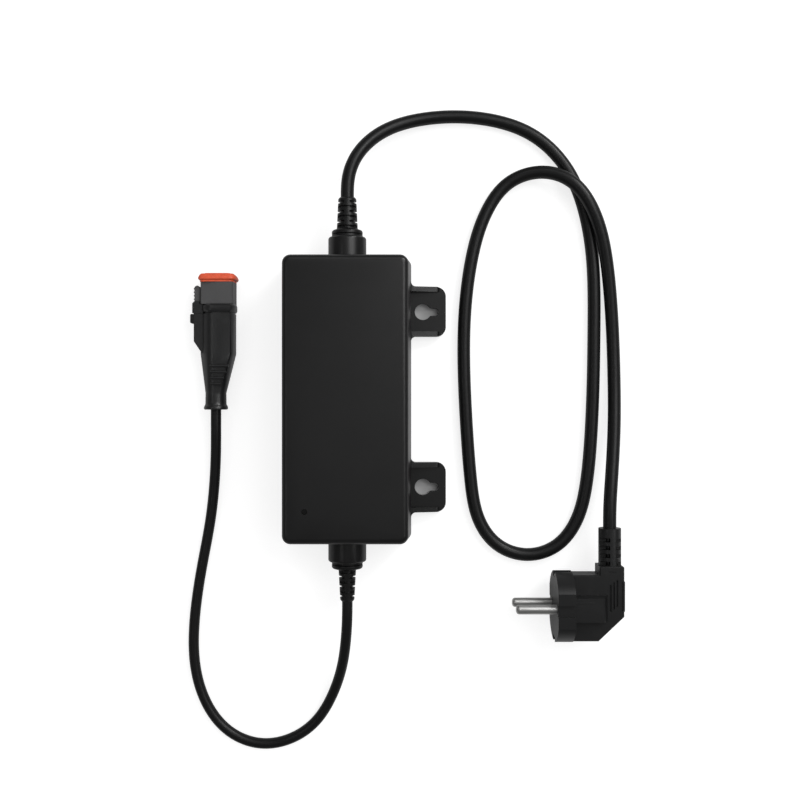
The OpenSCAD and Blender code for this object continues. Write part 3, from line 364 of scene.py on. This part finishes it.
def make_finishes(looks):
    """One material for each of the record's slots"""
    case, jacket = tuple(looks.case_colour), tuple(looks.jacket_colour)
    grey, orange = tuple(looks.grey_colour), tuple(looks.orange_colour)
    return {
        "case_plastic": grained_plastic("case_plastic", case, 0.31, specular=0.45),
        "cover_plastic": grained_plastic("cover_plastic", case, 0.42, grain=0.45 * MM, specular=0.45),
        "cord_jacket": jacket_vinyl("cord_jacket", jacket, 0.36),
        "soft_bushing": soft_vinyl("soft_bushing", shade(jacket, 0.8), 0.36),
        "plug_vinyl": soft_vinyl("plug_vinyl", shade(jacket, 1.25), 0.38, specular=0.42),
        "boot_rubber": soft_vinyl(
            "boot_rubber", shade(jacket, 1.8), 0.31, specular=0.55, depth=0.008 * MM,
        ),
        "grey_nylon": grained_plastic(
            "grey_nylon", grey, 0.48, grain=0.3 * MM, depth=0.008 * MM, specular=0.4,
        ),
        "orange_silicone": silicone("orange_silicone", orange),
        "orange_nylon": grained_plastic(
            "orange_nylon", shade(orange, 0.9), 0.5, grain=0.3 * MM, depth=0.006 * MM, specular=0.4,
        ),
        "pin_nickel": bright_metal("pin_nickel", (0.54, 0.54, 0.53), 0.38, along=(1, 0.15, 0.15)),
        "strap_nickel": bright_metal("strap_nickel", (0.42, 0.41, 0.39), 0.42),
        "spring_brass": bright_metal("spring_brass", (0.58, 0.5, 0.34), 0.3),
        "gold_contact": bright_metal("gold_contact", (0.75, 0.56, 0.25), 0.25, along=(0.2, 1, 0.2)),
        "screw_steel": bright_metal("screw_steel", (0.5, 0.51, 0.52), 0.35),
        "sink_aluminium": bright_metal("sink_aluminium", (0.6, 0.61, 0.62), 0.38, along=(1, 0.08, 1)),
        "copper_wire": plain_part("copper_wire", (0.5, 0.2, 0.08), 0.32, metallic=0.85, mottle=1.2 * MM),
        "ivory_plastic": plain_part("ivory_plastic", (0.66, 0.63, 0.56), 0.45),
        "foam_gasket": plain_part(
            "foam_gasket", (0.03, 0.03, 0.031), 0.85, mottle=1.5 * MM, depth=0.08 * MM,
        ),
        "clear_plastic": smoked_rod("clear_plastic", (0.002, 0.002, 0.002)),
        "lamp_green": plain_part("lamp_green", (0.12, 0.5, 0.16), 0.2),
        "board_green": green_board("board_green", (0.02, 0.12, 0.05)),
        "sheet_film": plain_part("sheet_film", (0.7, 0.67, 0.56), 0.35, mottle=8 * MM),
        "fuse_glass": plain_part("fuse_glass", (0.6, 0.62, 0.63), 0.18),
        "ferrite": plain_part("ferrite", (0.035, 0.035, 0.038), 0.6, mottle=0.8 * MM, depth=0.03 * MM),
        "tape_yellow": plain_part("tape_yellow", (0.66, 0.44, 0.06), 0.3, mottle=6 * MM),
        "capacitor_yellow": plain_part("capacitor_yellow", (0.62, 0.42, 0.05), 0.35),
        "capacitor_blue": plain_part(
            "capacitor_blue", (0.05, 0.17, 0.42), 0.3, mottle=1.5 * MM, depth=0.05 * MM,
        ),
        "capacitor_sleeve": plain_part("capacitor_sleeve", (0.015, 0.02, 0.04), 0.28, mottle=5 * MM),
        "package_black": plain_part(
            "package_black", (0.015, 0.015, 0.016), 0.55, mottle=0.9 * MM, depth=0.02 * MM,
        ),
        "bobbin_plastic": plain_part("bobbin_plastic", (0.02, 0.02, 0.02), 0.42),
        "core_brown": plain_part("core_brown", (0.16, 0.05, 0.02), 0.4),
        "core_blue": plain_part("core_blue", (0.02, 0.09, 0.34), 0.4),
        "core_green": plain_part("core_green", (0.1, 0.3, 0.04), 0.4),
        "core_red": plain_part("core_red", (0.4, 0.025, 0.02), 0.4),
        "core_black": plain_part("core_black", (0.012, 0.012, 0.012), 0.4),
    }


# The finishes by their slots, made by the operator of that name
FINISHES = {}


def node_slot(node):
    """The material slot that the record gives a node"""
    for part in frame["record"]["subparts"]:
        if part["node"] == node:
            return part["material_slot"]
    raise RuntimeError(f"no slot for {node}")


def add_piece(name, data, slot):
    """A new piece at the origin, riding on the adapter, with its slot's finish"""
    piece = bpy.data.objects.new(name, data)
    bpy.context.collection.objects.link(piece)
    data.materials.append(FINISHES[slot])
    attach(piece, BODY)
    return piece


def mesh_from(bm, name):
    """The bmesh as a mesh, with the bmesh freed"""
    mesh = bpy.data.meshes.new(name)
    bm.to_mesh(mesh)
    bm.free()
    return mesh


def soften_edges(piece, width, angle):
    """A tiny bevel on every edge that turns by more than the angle, in degrees"""
    bevel = piece.modifiers.new("Moulded edges", "BEVEL")
    bevel.width = width
    bevel.segments = 2
    bevel.limit_method = "ANGLE"
    bevel.angle_limit = math.radians(angle)
    bevel.harden_normals = True
    bevel.use_clamp_overlap = True


def moulded_copy(node, width, smooth_angle=30):
    """A merged, smooth-shaded copy of a node's solid with softened edges"""
    bm = bmesh.new()
    bm.from_mesh(frame["nodes"][node].data)
    bmesh.ops.remove_doubles(bm, verts=bm.verts, dist=MERGE_WITHIN)
    bmesh.ops.dissolve_limit(bm, angle_limit=FLAT_WITHIN, verts=bm.verts, edges=bm.edges)
    for face in bm.faces:
        face.smooth = True
    for edge in bm.edges:
        edge.smooth = edge.is_manifold and edge.calc_face_angle() < math.radians(smooth_angle)
    piece = add_piece(f"{node}_moulding", mesh_from(bm, f"{node}_moulding"), node_slot(node))
    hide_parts(node)
    soften_edges(piece, width, smooth_angle)


def route_point(route, place):
    """A point of the cubic B-spline along a route, the same one that the part's source draws"""
    points = [Vector(point) for point in route]
    last = len(points) - 1
    i = min(int(place), last - 1)
    t = place - i
    before = points[i - 1] if i > 0 else 2 * points[0] - points[1]
    after = points[i + 2] if i + 2 <= last else 2 * points[last] - points[last - 1]
    return (
        (1 - t) ** 3 * before
        + (3 * t**3 - 6 * t**2 + 4) * points[i]
        + (1 + 3 * t + 3 * t**2 - 3 * t**3) * points[i + 1]
        + t**3 * after
    ) / 6


def make_lead(name, route, diameter, node):
    """A lead as one round curve along its route"""
    curve = bpy.data.curves.new(name, "CURVE")
    curve.dimensions = "3D"
    curve.bevel_depth = diameter / 2
    curve.bevel_resolution = 6
    curve.use_fill_caps = True
    curve.twist_mode = "MINIMUM"
    count = (len(route) - 1) * LEAD_STEPS + 1
    spline = curve.splines.new("POLY")
    spline.points.add(count - 1)
    spline.use_smooth = True
    for i, point in enumerate(spline.points):
        point.co = (*route_point(route, i / LEAD_STEPS), 1)
    lead = add_piece(name, curve, node_slot(node))
    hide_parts(node)


class ADAPTER_OT_camera(Operator):
    """Place the camera straight above the adapter, as in the photograph"""

    bl_idname = "adapter.camera"
    bl_label = "Camera"
    bl_options = {"REGISTER", "UNDO"}

    def execute(self, context):
        camera = bpy.data.cameras.new("Camera")
        camera.lens = LENS
        camera.sensor_width = SENSOR_WIDTH
        camera.clip_start = 0.01
        camera.clip_end = 20
        holder = bpy.data.objects.new("Camera", camera)
        holder.location = (*CAMERA_OVER, context.scene.adapter_looks.camera_height)
        context.collection.objects.link(holder)
        context.scene.camera = holder
        return {"FINISHED"}


class ADAPTER_OT_finishes(Operator):
    """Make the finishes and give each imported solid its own"""

    bl_idname = "adapter.finishes"
    bl_label = "Finishes"
    bl_options = {"REGISTER", "UNDO"}

    def execute(self, context):
        FINISHES.update(make_finishes(context.scene.adapter_looks))
        for name, solid in frame["nodes"].items():
            for slot in solid.material_slots:
                slot.material = FINISHES[node_slot(name)]
        return {"FINISHED"}


class ADAPTER_OT_leads(Operator):
    """Lay the two leads and soften the edges of their bushings"""

    bl_idname = "adapter.leads"
    bl_label = "Leads"
    bl_options = {"REGISTER", "UNDO"}

    def execute(self, context):
        looks = context.scene.adapter_looks
        make_lead("mains_lead", MAINS_ROUTE, looks.mains_diameter, "mains_cord")
        make_lead("output_lead", OUTPUT_ROUTE, looks.output_diameter, "output_cord")
        moulded_copy("mains_bushing", BUSHING_EDGE)
        moulded_copy("output_bushing", BUSHING_EDGE)
        return {"FINISHED"}


class ADAPTER_OT_housing(Operator):
    """Make the housing and its cover with softened edges"""

    bl_idname = "adapter.housing"
    bl_label = "Housing"
    bl_options = {"REGISTER", "UNDO"}

    def execute(self, context):
        softness = context.scene.adapter_looks.edge_softness
        moulded_copy("housing", softness)
        moulded_copy("back_cover", softness)
        return {"FINISHED"}


class ADAPTER_OT_plug(Operator):
    """Make the plug's overmould with softened edges"""

    bl_idname = "adapter.plug"
    bl_label = "Plug"
    bl_options = {"REGISTER", "UNDO"}

    def execute(self, context):
        moulded_copy("plug_body", PLUG_EDGE, PLUG_EDGE_ANGLE)
        return {"FINISHED"}


class ADAPTER_OT_connector(Operator):
    """Make the connector's boot, body, seal and lock with softened edges"""

    bl_idname = "adapter.connector"
    bl_label = "Connector"
    bl_options = {"REGISTER", "UNDO"}

    def execute(self, context):
        for node, width in CONNECTOR_EDGES.items():
            moulded_copy(node, width)
        return {"FINISHED"}


class ADAPTER_OT_declare_leads(Operator):
    """Gather the connector's pieces that hang on the output lead; nothing is done with the list"""

    bl_idname = "adapter.declare_leads"
    bl_label = "Declare leads"

    def execute(self, context):
        connector = [f"{name}_moulding" for name in CONNECTOR_EDGES]
        connector += [frame["nodes"][name] for name in CONNECTOR_NODES]
        return {"FINISHED"}


def area_lamp(name, place, size, power, target=(0.03, 0, 0)):
    """A soft rectangular lamp turned towards a point"""
    lamp = bpy.data.lights.new(name, "AREA")
    lamp.shape = "RECTANGLE"
    lamp.size, lamp.size_y = size
    lamp.energy = power
    holder = bpy.data.objects.new(name, lamp)
    holder.location = place
    holder.rotation_euler = (Vector(target) - Vector(place)).to_track_quat("-Z", "Y").to_euler()
    bpy.context.collection.objects.link(holder)


def ray_level(finish, view, shine, light=0.0):
    """A level for what the camera sees, also through glass, one for reflections and one for light"""
    camera = finish.node("ShaderNodeLightPath", out="Is Camera Ray")
    glossy = finish.node("ShaderNodeLightPath", out="Is Glossy Ray")
    glass = finish.node("ShaderNodeLightPath", out="Is Transmission Ray")
    return camera.math("MAXIMUM", glass) * (view - light) + glossy * (shine - light) + light


def painted_shade_under_keyholes(finish):
    """1 on the floor under the two keyholes, where the floor is darkened as painted shade, 0 elsewhere"""
    keyholes = next(mount for mount in frame["record"]["mounts"] if mount["name"] == "keyholes")
    middle = keyholes["pos_m"][0] + KEYHOLE_SHADE_SHIFT
    apart = keyholes["dims"]["spacing_y_mm"] * MM
    place = finish.node("ShaderNodeTexCoord", out="Object")
    across, along = (finish.node("ShaderNodeSeparateXYZ", {}, {"Vector": place}, out=axis) for axis in "XY")
    in_length = (across - middle).math("ABSOLUTE").math("LESS_THAN", KEYHOLE_SHADE_LENGTH)
    in_width = (along.math("ABSOLUTE") - apart / 2).math("ABSOLUTE").math("LESS_THAN", KEYHOLE_SHADE_WIDTH)
    return in_length * in_width


def floor_finish():
    """White paper with a glow that keeps it white in view, and painted shade under the keyholes, where the
    glow is left out so the floor shows darker
    """
    finish = Finish("studio_floor")
    paper = finish.node("ShaderNodeBsdfDiffuse", {}, {"Color": (*PAPER, 1)})
    level = ray_level(finish, FLOOR_VIEW, FLOOR_SHINE)
    glow = finish.node("ShaderNodeEmission", {}, {"Color": (1, 1, 1, 1), "Strength": level})
    lit = finish.node("ShaderNodeAddShader", {}, {0: paper, 1: glow})
    # Painted shade: under the keyholes the floor keeps only its paper, without the glow, so it shows darker
    # there
    surface = finish.node("ShaderNodeMixShader", {}, {0: painted_shade_under_keyholes(finish), 1: lit, 2: paper})
    finish.tree.links.new(surface.socket, finish.output.inputs["Surface"])
    return finish.material


def studio_sky():
    """A sky that is white in view, lights the adapter evenly and shines softly in the mouldings"""
    finish = Finish("studio_sky", "World")
    level = ray_level(finish, SKY_VIEW, SKY_SHINE, SKY_LIGHT)
    sky = finish.node("ShaderNodeBackground", {}, {"Color": (1, 1, 1, 1), "Strength": level})
    finish.tree.links.new(sky.socket, finish.output.inputs["Surface"])
    return finish.material


class ADAPTER_OT_stage(Operator):
    """Lay the white floor and set the lamps and the sky"""

    bl_idname = "adapter.stage"
    bl_label = "Stage"
    bl_options = {"REGISTER", "UNDO"}

    def execute(self, context):
        bm = bmesh.new()
        bmesh.ops.create_grid(bm, x_segments=1, y_segments=1, size=FLOOR_REACH)
        bmesh.ops.translate(bm, verts=bm.verts, vec=(0, 0, -FLOOR_DROP))
        floor = bpy.data.objects.new("studio_floor", mesh_from(bm, "studio_floor"))
        context.collection.objects.link(floor)
        floor.data.materials.append(floor_finish())
        key_power = context.scene.adapter_looks.key_power
        area_lamp("key", place=(0.47, 0.36, 1.06), size=(0.42, 0.42), power=key_power)
        area_lamp("low", place=(0.72, 0.78, 0.72), size=(0.3, 0.3), power=5)
        area_lamp("side", place=(1.0, 0.2, 1.15), size=(1.0, 0.4), power=2.6)
        area_lamp("back", place=(0.1, 1.0, 1.1), size=(1.0, 0.3), power=1.5)
        area_lamp("top", place=(0.12, 0.34, 1.5), size=(0.9, 1.25), power=1.1, target=(0.12, 0.34, 0))
        area_lamp("fill", place=(-0.62, 0, 1.05), size=(0.7, 0.1), power=0.5)
        context.scene.world = studio_sky()
        context.scene.view_settings.view_transform = "Standard"
        return {"FINISHED"}


STEPS = (
    ADAPTER_OT_camera,
    ADAPTER_OT_finishes,
    ADAPTER_OT_leads,
    ADAPTER_OT_housing,
    ADAPTER_OT_plug,
    ADAPTER_OT_connector,
    ADAPTER_OT_declare_leads,
    ADAPTER_OT_stage,
)


class ADAPTER_PT_looks(Panel):
    """Sizes, colours and steps of the adapter"""

    bl_label = "Power Supply Adapter"
    bl_idname = "ADAPTER_PT_looks"
    bl_space_type = "VIEW_3D"
    bl_region_type = "UI"
    bl_category = "Adapter"

    def draw(self, context):
        looks = context.scene.adapter_looks
        for name in AdapterLooks.__annotations__:
            self.layout.prop(looks, name)
        for step in STEPS:
            self.layout.operator(step.bl_idname)


CLASSES = (AdapterLooks, *STEPS, ADAPTER_PT_looks)


def register():
    for item in CLASSES:
        bpy.utils.register_class(item)
    bpy.types.Scene.adapter_looks = PointerProperty(type=AdapterLooks)


def unregister():
    del bpy.types.Scene.adapter_looks
    for item in reversed(CLASSES):
        bpy.utils.unregister_class(item)


def main():
    """Build everything in order"""
    register()
    for step in STEPS:
        group, name = step.bl_idname.split(".")
        getattr(getattr(bpy.ops, group), name)()


if __name__ == "__main__":
    main()
